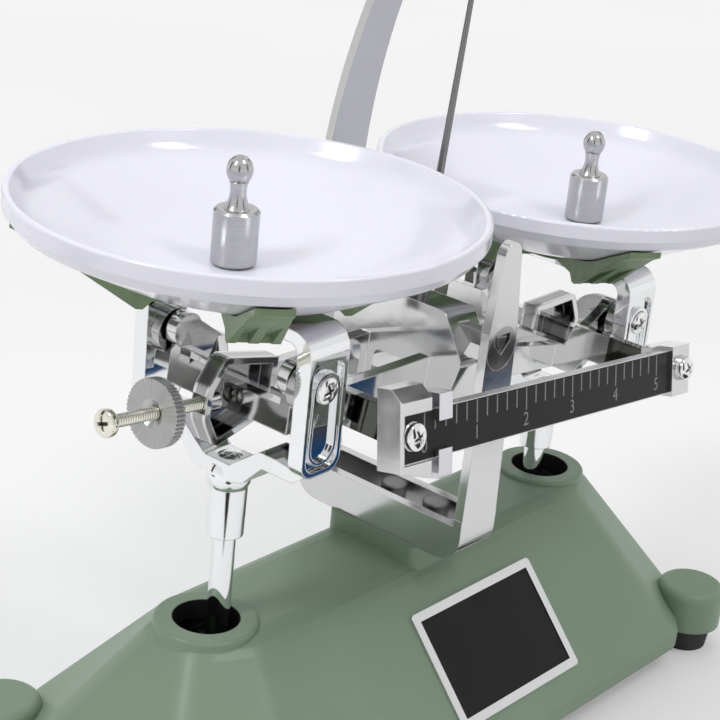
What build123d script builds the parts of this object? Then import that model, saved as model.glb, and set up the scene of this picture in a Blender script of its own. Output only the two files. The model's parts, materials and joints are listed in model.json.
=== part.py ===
from build123d import *
import os
from math import acos, cos, degrees, hypot, radians, sin, tan

# Two-pan counter balance. A beam on knife edges and a lower link inside the base
# carry two pans that stay level. Lengths are in millimetres and angles in degrees.
# X runs along the beam, -Y is the side of the scale bar, Z = 0 is the table top.

# Beam geometry and its rest position
arm = 63.0
tilt = 6.0
pivot_z = 108.0
link_drop = 84.0
gap = 0.3
slide_gap = 0.15

# Base casting
base_z = 7.0
base_top = 48.0
skirt_h = 4.0
body_x1 = 77.0
body_y1 = 47.0
body_x2 = 103.0
body_y2 = 27.0
body_r = 10.0
top_x1 = 62.0
top_y1 = 10.2
top_x2 = 73.0
top_y2 = 6.0
top_r = 5.0
shoulder_r = 8.0
shoulder_angle = 50.0
wall = 3.0
roof = 4.0
hole_r = 8.0
hole_shift = 3.6
ring_r = 12.4
ring_h = 1.0
ring_fillet = 0.8
pillar_x = 16.0
pillar_y = 30.0
pillar_h = 5.0
pillar_drop = 4.0
lug_x = 93.0
lug_y = 40.0
lug_r = 9.5
lug_h = 12.0
post_x = 42.0
post_y = 33.0
post_r = 4.0
post_h = 12.0

# Feet and bottom cover
foot_r = 7.6
foot_taper = 1.0
foot_screw_r = 1.8
foot_head_r = 3.4
foot_screw_len = 7.5
cover_t = 1.5
cover_gap = 0.5
cover_screw_len = 7.5
small_screw_r = 1.4
small_head_r = 2.9
small_head_h = 1.7
small_head_bend = 0.6
screw_fit = 0.1
hole_over = 0.5

# Nameplate
plate_w = 49.0
plate_h = 31.0
plate_t = 0.8
plate_rim = 2.4
plate_recess = 0.25
plate_x = 8.0
plate_r = 1.2

# Centre bracket
upright_in = 24.5
upright_t = 2.5
bracket_w = 14.0
bracket_low_h = 10.0
bracket_floor = 3.0
bracket_wall = 2.5
bracket_corner = 7.0
upright_mid_w = 11.0
upright_mid_z = 6.0
upright_top_w = 6.5
upright_top_z = 28.0
back_top_z = 12.0
bracket_screw_r = 2.0
bracket_screw_y = 7.0
screw_nut_r = 3.9
screw_nut_h = 2.4

# Bearings and knife edges
bearing_r = 5.5
bearing_shift = 1.3
notch_half = 3.0
notch_deep = 5.2
knife_half = 1.8
knife_h = 3.6
centre_knife_half = 2.1
centre_knife_h = 4.2
knife_end_gap = 0.5
stop_r = 1.5
stop_x = 4.0
stop_len = 20.0

# Dial post and dial
post_w = 15.0
post_w_top = 7.5
post_t = 2.2
post_bottom_z = -26.0
post_bend_z = 18.0
post_bend_r = 190.0
post_back_r = 14.0
post_dial_y = 6.0
post_over = 13.0
post_screw_z = -6.5
post_screw_pitch = 12.0
dial_under = 10.0
dial_over = 14.0
dial_angle = 10.0
dial_t = 1.5
dial_corner = 2.5
dial_screw_x = 2.4
dial_screw_r = 1.0
dial_head_r = 1.9
dial_screw_over = 9.5

# Beam
hub_x = 12.0
hub_top_y = 13.0
hub_top_z = 7.0
hub_mid_y = 20.5
hub_mid_z = -4.0
hub_low_y = 17.0
hub_low_z = -19.0
hub_window_y = 9.0
rib_y = 9.5
rib_t = 3.0
rib_top_hub = -5.0
rib_top_end = -9.6
rib_low = -15.5
cross_in = 11.5
cross_t = 3.0
cross_low_y = 19.5
cross_top = -2.4
cross_mid = -10.3
cross_low = -15.4
ear_y = 15.6
ear_t = 3.0
ear_r = 4.2
rail_half = 1.8
rail_top = -6.7
rail_low = -12.8
nose_len = 10.3
nose_top = 0.2
nose_root_top = -1.8
nose_root_low = -14.6
nose_low = -21.0
nose_flat = 3.6
nose_slope = 4.4
nose_half_y = 2.3
nose_rim = 1.7
nose_web = 1.1
nose_boss = 5.0
adjust_z = -10.6
back_reach = 31.0

# Scale bar, its holders and the rider, in the frame of the bar, which leans back
bar_y = 41.9
bar_z = -7.0
bar_lean = 12.0
bar_t = 3.0
bar_h = 11.0
holder_in = 47.2
holder_len = 10.5
holder_skin = 1.0
holder_depth = 7.0
holder_top = 11.1
holder_slope = 2.8
holder_low_out = -7.0
holder_low_in = -9.5
clip_in = 53.8
clip_len = 8.7
clip_half = 6.4
clip_root = 49.8
bolt_r = 1.4
bolt_z = 0.6
bolt_in = 4.5
bolt_head_r = 3.1
bolt_head_h = 2.0
bolt_head_bend = 0.9
washer_r = 3.3
washer_t = 0.6
rider_start = 45.0
rider_len = 4.7
rider_top = 8.9
rider_low = -10.1
rider_wall = 1.2
rider_back = 1.5
rider_lip_top = 2.8
rider_lip_low = -3.6

# Pointer
needle_r = 1.1
needle_tip_r = 0.45
needle_len = 113.0
needle_foot = 7.0
needle_foot_h = 6.0

# Adjusting screws and nuts
adjust_r = 1.5
adjust_end = 100.0
adjust_head_r = 3.1
adjust_head_h = 2.2
nut_r = 7.7
nut_t = 2.6
nut_hub_r = 3.6
nut_hub_t = 1.4
nut_sink_r = 3.2
nut_sink = 1.2
nut_x = 86.4
nut_teeth = 50
nut_tooth = 0.35

# Pan carrier
yoke_in = 22.6
yoke_skin = 4.0
yoke_half_x = 6.2
yoke_top = 13.5
yoke_low = -20.0
yoke_bridge_t = 3.0
yoke_corner = 5.5
yoke_foot_r = 3.5
saddle_x = 4.3
saddle_t = 3.8
saddle_crest = -18.5
saddle_crest_y = 14.5
saddle_dip_y = 6.0
saddle_bed = -25.0
saddle_low = -29.0
boss_r = 5.4
boss_z = -29.6
socket_top_r = 4.7
socket_low_r = 4.45
socket_low = -44.7
panel_inset = 1.2
panel_depth = 1.0
drop_r = 4.2
drop_low_r = 4.5
drop_low = -13.2
drop_rim = 0.9
rod_r = 2.8
rod_over = 4.0
rod_pin_r = 1.5
bearing_in = 19.6
bearing_wall = 1.3
yoke_screw_r = 3.1
yoke_screw_h = 2.1
yoke_screw_shaft = 1.25

# Lower link
link_half_z = 3.0
link_half_y = 3.6
fork_t = 2.4
fork_gap = 0.6
fork_r = 4.0
fork_len = 9.0
pin_fit = 0.3
link_hub_r = 5.0
link_pin_r = 2.0
hanger_t = 1.5
hanger_y = 11.0
hanger_x = 7.0
hanger_low = 5.0
hub_fit = 0.05

# Pan
pan_r = 52.5
pan_t = 2.0
pan_depth = 18.9
pan_floor_r = 25.0
pan_lip = 3.6
pan_lip_t = 1.5
pan_lip_in = 4.4
pan_lip_bend = 8.0
pan_edge = 2.0
pan_edge_z = 6.2
pan_edge_bend = 1.5
pan_rim_z = 36.4
pan_bend_r = 45.0
lip_r = 0.6

# Pan support
support_w = 11.6
support_tip_w = 8.0
support_tip = 50.5
support_hub_r = 12.0
support_step_r = 22.0
support_drop = 1.9
support_rise_r = 23.5
support_shoulder_r = 46.0
support_shoulder_t = 1.5
support_tip_t = 1.6
support_rib = 2.2
support_groove = 2.6
support_groove_t = 2.2
support_screw_r = 2.0
support_head_r = 3.8
support_head_h = 1.8
support_turns = (5.0, -11.0)

# Weight
weight_r = 5.15
weight_body = 12.7
weight_neck = 5.4
weight_neck_r = 1.82
weight_foot_r = 3.0
weight_knob_r = 2.96
weight_knob_h = 6.8
weight_bevel = 0.6
weight_spots = ((0.5, 4.0), (8.8, 0.5))

turn = radians(tilt)
link_z = pivot_z - link_drop
hole_x = arm + hole_shift
bracket_z = base_top + pillar_h - pivot_z
post_top_z = needle_len + post_over
dial_r_in = needle_len - dial_under
dial_r_out = needle_len + dial_over
dial_screw_z = needle_len + dial_screw_over


def save(name, shape):
    export_step(shape, "parts/" + name + ".step")


def slab_yz(sketch, x0, x1):
    return extrude(Plane.YZ.offset(x0) * sketch, amount=x1 - x0, dir=(1, 0, 0))


def slab_xz(sketch, y0, y1):
    return extrude(Plane.XZ.offset(-y0) * sketch, amount=y1 - y0, dir=(0, 1, 0))


def slab_xy(sketch, z0, z1):
    return extrude(Plane.XY.offset(z0) * sketch, amount=z1 - z0, dir=(0, 0, 1))


def box(x0, x1, y0, y1, z0, z1):
    return Pos((x0 + x1) / 2, (y0 + y1) / 2, (z0 + z1) / 2) * Box(x1 - x0, y1 - y0, z1 - z0)


def rod_z(r, z0, z1, x=0.0, y=0.0):
    return Pos(x, y, (z0 + z1) / 2) * Cylinder(r, z1 - z0)


def rod_y(r, y0, y1, x=0.0, z=0.0):
    return Pos(x, (y0 + y1) / 2, z) * Rot(90, 0, 0) * Cylinder(r, y1 - y0)


def rod_x(r, x0, x1, y=0.0, z=0.0):
    return Pos((x0 + x1) / 2, y, z) * Rot(0, 90, 0) * Cylinder(r, x1 - x0)


def mirror_x(shape):
    return mirror(shape, about=Plane.YZ)


def mirror_y(shape):
    return mirror(shape, about=Plane.XZ)


def on_post(shape):
    return Pos(0, 0, pivot_z) * shape


def on_beam(shape):
    return Pos(0, 0, pivot_z) * Rot(0, tilt, 0) * shape


def on_link(shape):
    return Pos(0, 0, link_z) * Rot(0, tilt, 0) * shape


def on_carrier(shape, side):
    placed = mirror_x(shape) if side > 0 else shape
    return Pos(side * arm * cos(turn), 0, pivot_z - side * arm * sin(turn)) * placed


# Base casting: a ridge with sloping sides, a rounded top and a ring round each rod hole

def octagon(x1, y1, x2, y2, r):
    points = [(x1, y1), (x2, y2), (x2, -y2), (x1, -y1), (-x1, -y1), (-x2, -y2), (-x2, y2), (-x1, y1)]
    face = Polygon(*points, align=None)
    return fillet(face.vertices(), r)


def outer_form():
    sections = []
    for z in (base_z, base_z + skirt_h):
        sections.append(Pos(0, 0, z) * octagon(body_x1, body_y1, body_x2, body_y2, body_r))
    for share in (1.0, 0.66, 0.33, 0.0):
        a = radians(shoulder_angle * share)
        out = shoulder_r * sin(a)
        z = base_top - shoulder_r * (1 - cos(a))
        ring = octagon(top_x1 + out / 2, top_y1 + out, top_x2 + out, top_y2 + out / 2, top_r + out / 2)
        sections.append(Pos(0, 0, z) * ring)
    return loft(sections, ruled=True)


def inner_form():
    side = wall * 1.4
    low = octagon(body_x1 - wall, body_y1 - side, body_x2 - side, body_y2 - wall, body_r - wall)
    high = octagon(top_x1, top_y1 + 1, top_x2 + 1, top_y2 + 1, top_r)
    heights = (base_z - 1, base_z + skirt_h, base_top - roof)
    return loft([Pos(0, 0, z) * s for z, s in zip(heights, (low, low, high))], ruled=True)


def corners(x, y):
    return [(-x, -y), (x, -y), (x, y), (-x, y)]


def base_casting():
    shape = outer_form()
    for side in (-1, 1):
        ring = rod_z(ring_r, base_top - roof, base_top + ring_h, side * hole_x)
        shape += fillet(ring.edges().group_by(Axis.Z)[-1], ring_fillet)
    shape -= inner_form()
    pad = fillet(Rectangle(pillar_x, pillar_y).vertices(), 3)
    shape += slab_xy(pad, base_top - roof - pillar_drop, base_top + pillar_h)
    for x, y in corners(lug_x, lug_y):
        lug = rod_z(lug_r, base_z, base_z + lug_h, x, y)
        shape += fillet(lug.edges().group_by(Axis.Z)[-1], 2.5)
        shape -= rod_z(foot_screw_r, base_z - 1, base_z + foot_screw_len + hole_over, x, y)
    posts = Compound([rod_z(post_r, base_z + cover_t, base_z + cover_t + post_h, x, y)
                      for x, y in corners(post_x, post_y)])
    shape += posts & outer_form()
    for x, y in corners(post_x, post_y):
        shape -= rod_z(small_screw_r, base_z, base_z + cover_t + cover_screw_len + hole_over, x, y)
    for side in (-1, 1):
        bore = rod_z(hole_r, base_top - roof - 2, base_top + ring_h + 1, side * hole_x)
        shape -= bore
    for y in (-bracket_screw_y, bracket_screw_y):
        shape -= rod_z(bracket_screw_r, base_top - roof - pillar_drop - 1, base_top + pillar_h + 1, 0, y)
    return shape


def base_cover():
    inset = wall * 1.4 + cover_gap
    face = octagon(body_x1 - wall, body_y1 - inset, body_x2 - inset, body_y2 - wall, body_r - wall)
    shape = slab_xy(face, base_z, base_z + cover_t)
    for x, y in corners(lug_x, lug_y):
        shape -= rod_z(lug_r + cover_gap, base_z - 1, base_z + cover_t + 1, x, y)
    for x, y in corners(post_x, post_y):
        shape -= rod_z(small_screw_r + screw_fit, base_z - 1, base_z + cover_t + 1, x, y)
    return shape


def cover_screws():
    screws = []
    for x, y in corners(post_x, post_y):
        head = rod_z(small_head_r, base_z - small_head_h, base_z, x, y)
        head = fillet(head.edges().group_by(Axis.Z)[0], small_head_bend)
        screws.append(head + rod_z(small_screw_r, base_z, base_z + cover_t + cover_screw_len, x, y))
    return Compound(screws)


def rubber_feet():
    feet = []
    for x, y in corners(lug_x, lug_y):
        foot = Pos(x, y, base_z / 2) * Rot(180, 0, 0) * Cone(foot_r, foot_r - foot_taper, base_z)
        foot -= rod_z(foot_head_r + screw_fit, -1, base_z / 2, x, y)
        foot -= rod_z(foot_screw_r + screw_fit, 0, base_z + 1, x, y)
        feet.append(foot)
    return Compound(feet)


def foot_screws():
    screws = []
    for x, y in corners(lug_x, lug_y):
        head = rod_z(foot_head_r, base_z / 2 - small_head_h, base_z / 2, x, y)
        screws.append(head + rod_z(foot_screw_r, base_z / 2, base_z + foot_screw_len, x, y))
    return Compound(screws)


def slope_plane():
    a = radians(shoulder_angle)
    y_top = top_y1 + shoulder_r * sin(a)
    z_top = base_top - shoulder_r * (1 - cos(a))
    run, rise = body_y1 - y_top, z_top - base_z - skirt_h
    length = hypot(run, rise)
    middle = (plate_x, -(y_top + body_y1) / 2, (z_top + base_z + skirt_h) / 2)
    return Plane(origin=middle, x_dir=(1, 0, 0), z_dir=(0, -rise / length, run / length))


def nameplate():
    face = fillet(Rectangle(plate_w, plate_h).vertices(), plate_r)
    field = Rectangle(plate_w - 2 * plate_rim, plate_h - 2 * plate_rim)
    plate = extrude(face, amount=plate_t)
    plate -= Pos(0, 0, plate_t - plate_recess) * extrude(field, amount=plate_recess * 2)
    return slope_plane().location * plate


# Centre bracket: a U-shaped carrier with knife bearings, screwed on the pillar

def upright(top_z, top_w):
    half = bracket_w / 2
    low = bracket_z + bracket_corner
    pts = [(-half, low), (half, low), (upright_mid_w / 2, upright_mid_z), (top_w / 2, top_z - top_w / 2)]
    face = Polygon(*pts, (-top_w / 2, top_z - top_w / 2), (-upright_mid_w / 2, upright_mid_z), align=None)
    return face + Pos(0, top_z - top_w / 2) * Circle(top_w / 2)


def centre_bracket():
    out = upright_in + upright_t
    half = bracket_w / 2
    low = Pos(0, bracket_z + bracket_low_h / 2 + 4) * Rectangle(2 * out, bracket_low_h + 8)
    low = fillet(low.vertices().group_by(Axis.Y)[0], bracket_corner)
    shape = slab_yz(low, -half, half)
    shape -= box(-half - 1, half + 1, -upright_in, upright_in, bracket_z + bracket_low_h, 0)
    pocket_y = upright_in - bracket_wall
    shape -= box(-half + bracket_wall, half - bracket_wall, -pocket_y, pocket_y,
                 bracket_z + bracket_floor, 0)
    shape -= box(-half - 1, half + 1, -out - 1, out + 1, bracket_z + bracket_low_h + 2, 0)
    shape += slab_xz(upright(upright_top_z, upright_top_w), -out, -upright_in)
    shape += slab_xz(upright(back_top_z, upright_mid_w - 1), upright_in, out)
    for y in (-out, upright_in):
        shape -= rod_y(bearing_r, y - 1, y + upright_t + 1, 0, bearing_shift)
    for y in (-bracket_screw_y, bracket_screw_y):
        shape -= rod_z(bracket_screw_r, bracket_z - 1, bracket_z + bracket_floor + 1, 0, y)
    for z in (post_screw_z, post_screw_z - post_screw_pitch):
        shape -= rod_y(small_screw_r, upright_in - 1, out + 1, 0, z)
    for x in (-stop_x, stop_x):
        shape -= rod_y(stop_r, upright_in - 1, out + 1, x, stop_z())
    return on_post(shape)


def stop_z():
    reach = -hub_low_z / cos(turn) + stop_x * tan(turn)
    return -reach - stop_r / cos(turn) - gap


def stop_pins():
    out = upright_in + upright_t
    pins = [rod_y(stop_r, out - stop_len, out, x, stop_z()) for x in (-stop_x, stop_x)]
    return on_post(Compound(pins))


def bracket_screws():
    screws = []
    floor = base_top + pillar_h + bracket_floor
    low = base_top - roof - pillar_drop - hanger_t
    for y in (-bracket_screw_y, bracket_screw_y):
        head = fillet(rod_z(3.5, floor, floor + 2.4, 0, y).edges().group_by(Axis.Z)[-1], 0.8)
        nut = extrude(RegularPolygon(screw_nut_r, 6), amount=screw_nut_h)
        nut = Pos(0, y, low - screw_nut_h) * nut
        screws.append(head + rod_z(bracket_screw_r, low - screw_nut_h - 1, floor, 0, y) + nut)
    return Compound(screws)


def notch(z, up):
    side = 1 if up else -1
    near, far = z + side * notch_half, z + side * notch_deep
    pts = [(0, z), (notch_half, near), (notch_half, far), (-notch_half, far), (-notch_half, near)]
    return Polygon(*pts, align=None)


def centre_bearings():
    out = upright_in + upright_t
    ring = rod_y(bearing_r, upright_in, out, 0, bearing_shift)
    ring -= slab_xz(notch(-gap, True), upright_in - 1, out + 1)
    return on_post(Compound([ring, mirror_y(ring)]))


# Dial post: a tapered strip that leans forward over the beam and carries the dial

def post_line():
    y0 = upright_in + upright_t + post_t / 2
    lean = 1 - (y0 - post_dial_y) / post_bend_r
    angle = degrees(acos(lean))
    first = Line((y0, post_bottom_z), (y0, post_bend_z))
    lean_arc = JernArc((y0, post_bend_z), (0, 1), post_bend_r, angle)
    back_arc = JernArc(lean_arc @ 1, lean_arc % 1, post_back_r, -angle)
    last = Line(back_arc @ 1, ((back_arc @ 1).X, post_top_z))
    return first + lean_arc + back_arc + last, (back_arc @ 1).X


def dial_post():
    line, y_top = post_line()
    strip = slab_yz(trace(line, post_t), -post_w, post_w)
    half, top = post_w / 2, post_w_top / 2
    lower = post_bottom_z + half
    pts = [(-half, lower), (half, lower), (half, post_bend_z), (top, post_top_z), (-top, post_top_z)]
    outline = Polygon(*pts, (-half, post_bend_z), align=None) + Pos(0, lower) * Circle(half)
    shape = strip & slab_xz(outline, -5, upright_in + upright_t + post_t + 5)
    for z in (post_screw_z, post_screw_z - post_screw_pitch):
        shape -= rod_y(small_screw_r + screw_fit, upright_in, upright_in + 10, 0, z)
    for x in (-dial_screw_x, dial_screw_x):
        shape -= rod_y(dial_screw_r, -5, 15, x, dial_screw_z)
    return on_post(shape)


def post_screws():
    out = upright_in + upright_t + post_t
    screws = []
    for z in (post_screw_z, post_screw_z - post_screw_pitch):
        head = rod_y(small_head_r, out, out + small_head_h, 0, z)
        head = fillet(head.edges().group_by(Axis.Y)[-1], small_head_bend)
        screws.append(head + rod_y(small_screw_r, upright_in, out, 0, z))
    return on_post(Compound(screws))


def dial_back():
    return post_line()[1] - post_t / 2


def sector(r_in, r_out, angle, corner):
    a = radians(angle)
    pts = [(r * sin(s * a), r * cos(s * a)) for r, s in ((r_in, -1), (r_out, -1), (r_out, 1), (r_in, 1))]
    left = Line(pts[0], pts[1])
    over = ThreePointArc(pts[1], (0, r_out), pts[2])
    right = Line(pts[2], pts[3])
    under = ThreePointArc(pts[3], (0, r_in), pts[0])
    face = make_face(left + over + right + under)
    return fillet(face.vertices(), corner)


def dial_plate():
    back = dial_back()
    shape = slab_xz(sector(dial_r_in, dial_r_out, dial_angle, dial_corner), back - dial_t, back)
    for x in (-dial_screw_x, dial_screw_x):
        shape -= rod_y(dial_screw_r, back - dial_t - 1, back + 1, x, dial_screw_z)
    return on_post(shape)


def dial_screws():
    front, end = dial_back() - dial_t, dial_back() + post_t
    screws = []
    for x in (-dial_screw_x, dial_screw_x):
        head = rod_y(dial_head_r, front - 0.5, front, x, dial_screw_z)
        screws.append(head + rod_y(dial_screw_r, front, end + 0.4, x, dial_screw_z))
    return on_post(Compound(screws))


# Beam: hub, two ribs, and cross bars whose ears hold the end knife edges

def knife(half, height, y0, y1, up):
    side = -1 if up else 1
    return slab_xz(Polygon((0, 0), (half, side * height), (-half, side * height), align=None), y0, y1)


def end_knives():
    out = yoke_in + yoke_skin - bearing_wall - knife_end_gap
    knives = []
    for x in (-arm, arm):
        one = Pos(x, 0, 0) * knife(knife_half, knife_h, ear_y, out, True)
        knives += [one, mirror_y(one)]
    return knives


def centre_knife():
    reach = upright_in + upright_t - knife_end_gap
    return knife(centre_knife_half, centre_knife_h, -reach, reach, False)


def hub():
    pts = [(-hub_top_y, hub_top_z), (hub_top_y, hub_top_z), (hub_mid_y, hub_mid_z),
           (hub_low_y, hub_low_z), (-hub_low_y, hub_low_z), (-hub_mid_y, hub_mid_z)]
    face = fillet(Polygon(*pts, align=None).vertices(), 2.5)
    shape = slab_yz(face, -hub_x / 2, hub_x / 2)
    middle = (hub_low_z + rib_top_hub) / 2 - 1
    window = Pos(0, middle) * Rectangle(2 * (rib_y - rib_t / 2 - 2), hub_window_y)
    return shape - slab_yz(fillet(window.vertices(), 2), -hub_x, hub_x)


def rib(side):
    end = side * (arm - cross_in + cross_t / 2)
    start = side * (hub_x / 2 - 1)
    pts = [(start, rib_top_hub), (end, rib_top_end), (end, rib_low), (start, rib_low)]
    return slab_xz(Polygon(*pts, align=None), rib_y - rib_t / 2, rib_y + rib_t / 2)


def cross_bar(side):
    foot, arch = cross_low_y, rib_top_end + 1
    pts = [(-bar_y, cross_top), (-ear_y, cross_top), (2 - ear_y, arch), (ear_y - 2, arch),
           (ear_y, cross_top), (back_reach, cross_top), (back_reach, cross_mid), (foot + 1, cross_mid),
           (foot - 2, cross_low), (2 - foot, cross_low), (-foot - 1, cross_mid), (-bar_y, cross_mid)]
    x = side * (arm - cross_in)
    bar = slab_yz(Polygon(*pts, align=None), x - cross_t / 2, x + cross_t / 2)
    return bar - on_bar(box(x - cross_t, x + cross_t, -bar_y, holder_back(), -bar_y, bar_y))


def ear(side):
    x0, x1 = side * (arm - cross_in), side * arm
    pts = [(x0, cross_top), (x1, ear_r), (x1, -ear_r), (x0, cross_mid)]
    leg = Pos(x1, rail_low / 2) * Rectangle(2 * rail_half, -rail_low)
    face = Polygon(*pts, align=None) + Pos(x1, 0) * Circle(ear_r) + leg
    return slab_xz(face, ear_y, ear_y + ear_t)


def rail(side):
    x = side * arm
    return box(x - rail_half, x + rail_half, -ear_y - 1, ear_y + 1, rail_low, rail_top)


def nose_outline(rim):
    root, end = arm - cross_in, arm + nose_len
    pts = [(root, nose_root_top), (end - nose_slope, nose_top), (end, adjust_z + nose_flat),
           (end, adjust_z - nose_flat), (end - nose_slope, nose_low), (root, nose_root_low)]
    face = Polygon(*pts, align=None)
    face = fillet(face.vertices().group_by(Axis.X)[-1], nose_len / 2)
    face = fillet(face.vertices().filter_by(lambda v: abs(v.X - end + nose_slope) < 0.01), nose_slope / 2)
    return offset(face, -rim) if rim else face


def nose(side):
    half = nose_half_y
    shape = slab_xz(nose_outline(0), -half, half)
    shape -= slab_xz(nose_outline(nose_rim), -half - 1, half - nose_web)
    end = arm + nose_len
    shape += rod_x(half, end - nose_boss, end - nose_rim / 2, 0, adjust_z)
    return mirror_x(shape) if side < 0 else shape


def beam_casting():
    shape = hub()
    for side in (-1, 1):
        one = rib(side)
        shape += one + mirror_y(one)
        shape += cross_bar(side) + rail(side)
        one = ear(side)
        shape += one + mirror_y(one)
        shape += nose(side)
        near, far = side * (arm + nose_len - nose_boss - 1), side * (arm + nose_len + 1)
        shape -= rod_x(adjust_r, min(near, far), max(near, far), 0, adjust_z)
    shape -= centre_knife()
    for one in end_knives():
        shape -= one
    shape -= rod_z(needle_r, hub_top_z - needle_foot, hub_top_z + 1)
    return on_beam(shape)


def pointer():
    foot = rod_z(needle_r * 2.4, hub_top_z, hub_top_z + needle_foot_h)
    foot = fillet(foot.edges().group_by(Axis.Z)[-1], 1.2)
    start = hub_top_z + needle_foot_h
    taper = Pos(0, 0, (start + needle_len) / 2) * Cone(needle_r, needle_tip_r, needle_len - start)
    stub = rod_z(needle_r, centre_knife_h, hub_top_z)
    return on_beam(foot + taper + stub)


# Scale bar between its two holders: everything here leans back with the bar

def on_bar(shape):
    return Pos(0, -bar_y, bar_z) * Rot(-bar_lean, 0, 0) * shape


def holder_front():
    return -bar_t / 2 - holder_skin


def holder_back():
    return holder_front() + holder_depth


def bar_ends():
    return -holder_in - holder_len + holder_skin, clip_in + clip_len - holder_skin


def bolt_places():
    return -holder_in - holder_len + bolt_in, clip_in + clip_len - bolt_in


def scale_bar():
    start, end = bar_ends()
    shape = box(start, end, -bar_t / 2, bar_t / 2, -bar_h / 2, bar_h / 2)
    for x in bolt_places():
        shape -= rod_y(bolt_r + screw_fit, -bar_t, bar_t, x, bolt_z)
    return on_beam(on_bar(shape))


def bar_holder_left():
    front, back = holder_front(), holder_back()
    start, end = -holder_in - holder_len, -holder_in
    low, top, slope = holder_low_in, holder_top, holder_slope
    side = [(front, low), (back, low), (back, top), (front + slope, top), (front, top - slope)]
    face = [(start, holder_low_out), (end, low), (end, top), (start, top)]
    shape = slab_yz(Polygon(*side, align=None), start, end)
    shape &= slab_xz(Polygon(*face, align=None), front, back)
    shape = chamfer(shape.edges().filter_by(Axis.Z).group_by(Axis.X)[0], 0.4)
    shape -= box(bar_ends()[0], end + 1, front - 1, bar_t / 2, -bar_h / 2, bar_h / 2)
    shape -= rod_y(bolt_r, bar_t / 2 - 1, back + 1, bolt_places()[0], bolt_z)
    return on_beam(on_bar(shape))


def bar_holder_right():
    front, back, end = holder_front(), holder_back(), clip_in + clip_len
    shape = box(clip_in, end, front, back, -clip_half, clip_half)
    shape = fillet(shape.edges().filter_by(Axis.Z).group_by(Axis.X)[-1], 0.8)
    shape += box(clip_root, clip_in + 1, bar_t / 2, back, -clip_half, clip_half)
    shape -= box(clip_root - 1, bar_ends()[1], -bar_t / 2, bar_t / 2, -bar_h / 2, bar_h / 2)
    shape -= rod_y(bolt_r, bar_t / 2 - 1, back + 1, bolt_places()[1], bolt_z)
    shape -= rod_y(bolt_r + screw_fit, front - 1, 0, bolt_places()[1], bolt_z)
    return on_beam(on_bar(shape))


def bar_screws():
    screws = []
    for x, face in zip(bolt_places(), (-bar_t / 2, holder_front())):
        washer = rod_y(washer_r, face - washer_t, face, x, bolt_z)
        head = rod_y(bolt_head_r, face - washer_t - bolt_head_h, face - washer_t, x, bolt_z)
        head = fillet(head.edges().group_by(Axis.Y)[0], bolt_head_bend)
        shaft = rod_y(bolt_r, face, holder_back() - hole_over, x, bolt_z)
        screws.append(washer + head + shaft)
    return on_beam(on_bar(Compound(screws)))


def rider():
    inner_y, inner_z = bar_t / 2 + slide_gap, bar_h / 2 + slide_gap
    front, back = -inner_y - rider_wall, inner_y + rider_back
    start, end = -rider_start, -rider_start + rider_len
    shape = box(start, end, front, back, rider_low, rider_top)
    shape = fillet(shape.edges().filter_by(Axis.X), 0.4)
    shape -= box(start - 1, end + 1, -inner_y, inner_y, -inner_z, inner_z)
    shape -= box(start - 1, end + 1, front - 1, 0, rider_lip_low, rider_lip_top)
    return on_beam(on_bar(shape))


# Adjusting screws with knurled nuts, one at each end of the beam

def adjust_screw(side):
    start, end = arm + nose_len - nose_boss, adjust_end
    shape = rod_x(adjust_r, start, end, 0, adjust_z)
    head = rod_x(adjust_head_r, end, end + adjust_head_h, 0, adjust_z)
    shape += fillet(head.edges().group_by(Axis.X)[-1], 0.9)
    return on_beam(mirror_x(shape) if side < 0 else shape)


def knurled(r, depth, teeth):
    tooth = Polygon((r + 1, -1.2), (r - depth, 0), (r + 1, 1.2), align=None)
    face = Circle(r)
    for angle in range(teeth):
        face -= Rot(0, 0, angle * 360 / teeth) * tooth
    return face


def balance_nut(side):
    inner, outer = nut_x - nut_t / 2, nut_x + nut_t / 2
    disc = slab_yz(Pos(0, adjust_z) * knurled(nut_r, nut_tooth, nut_teeth), inner, outer)
    shape = disc + rod_x(nut_hub_r, inner - nut_hub_t, inner, 0, adjust_z)
    shape -= Pos(outer - nut_sink / 2, 0, adjust_z) * Rot(0, 90, 0) * Cone(adjust_r, nut_sink_r, nut_sink)
    shape -= rod_x(adjust_r + hub_fit, inner - nut_hub_t - 1, outer + 1, 0, adjust_z)
    return on_beam(mirror_x(shape) if side < 0 else shape)


# Pan carrier: a yoke that hangs on the end knife edges, with its socket and rod

def yoke_frame():
    out = yoke_in + yoke_skin
    mid = (yoke_top + yoke_low) / 2
    outer = Pos(0, mid) * Rectangle(2 * out, yoke_top - yoke_low)
    outer = fillet(outer.vertices().group_by(Axis.Y)[-1], yoke_corner)
    inner = Pos(0, mid - yoke_bridge_t) * Rectangle(2 * yoke_in, yoke_top - yoke_low)
    inner = fillet(inner.vertices().group_by(Axis.Y)[-1], yoke_corner - yoke_bridge_t)
    shape = slab_yz(outer - inner, -yoke_half_x, yoke_half_x)
    foot = shape.edges().filter_by(Axis.Y).group_by(Axis.Z)[0]
    return fillet(foot, yoke_foot_r)


def saddle():
    out, low = yoke_in + yoke_skin, saddle_crest - saddle_t
    dip, bed = saddle_dip_y, saddle_bed
    top = [(out, yoke_low + 3), (yoke_in - 1, yoke_low + 1), (saddle_crest_y + 3, saddle_crest),
           (saddle_crest_y - 2, saddle_crest), (dip + 2, bed + 3), (dip - 2, bed)]
    under = [(socket_top_r, saddle_low), (dip + 2, saddle_low + 1), (saddle_crest_y - 1, low), (yoke_in, low),
             (out - 1, yoke_low)]
    right = [(y, z) for y, z in reversed(top)] + [(y, z) for y, z in reversed(under)]
    left = [(-y, z) for y, z in reversed(right)]
    face = fillet(Polygon(*right, *left, align=None).vertices(), 0.9)
    return slab_yz(face, -saddle_x, saddle_x)


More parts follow.
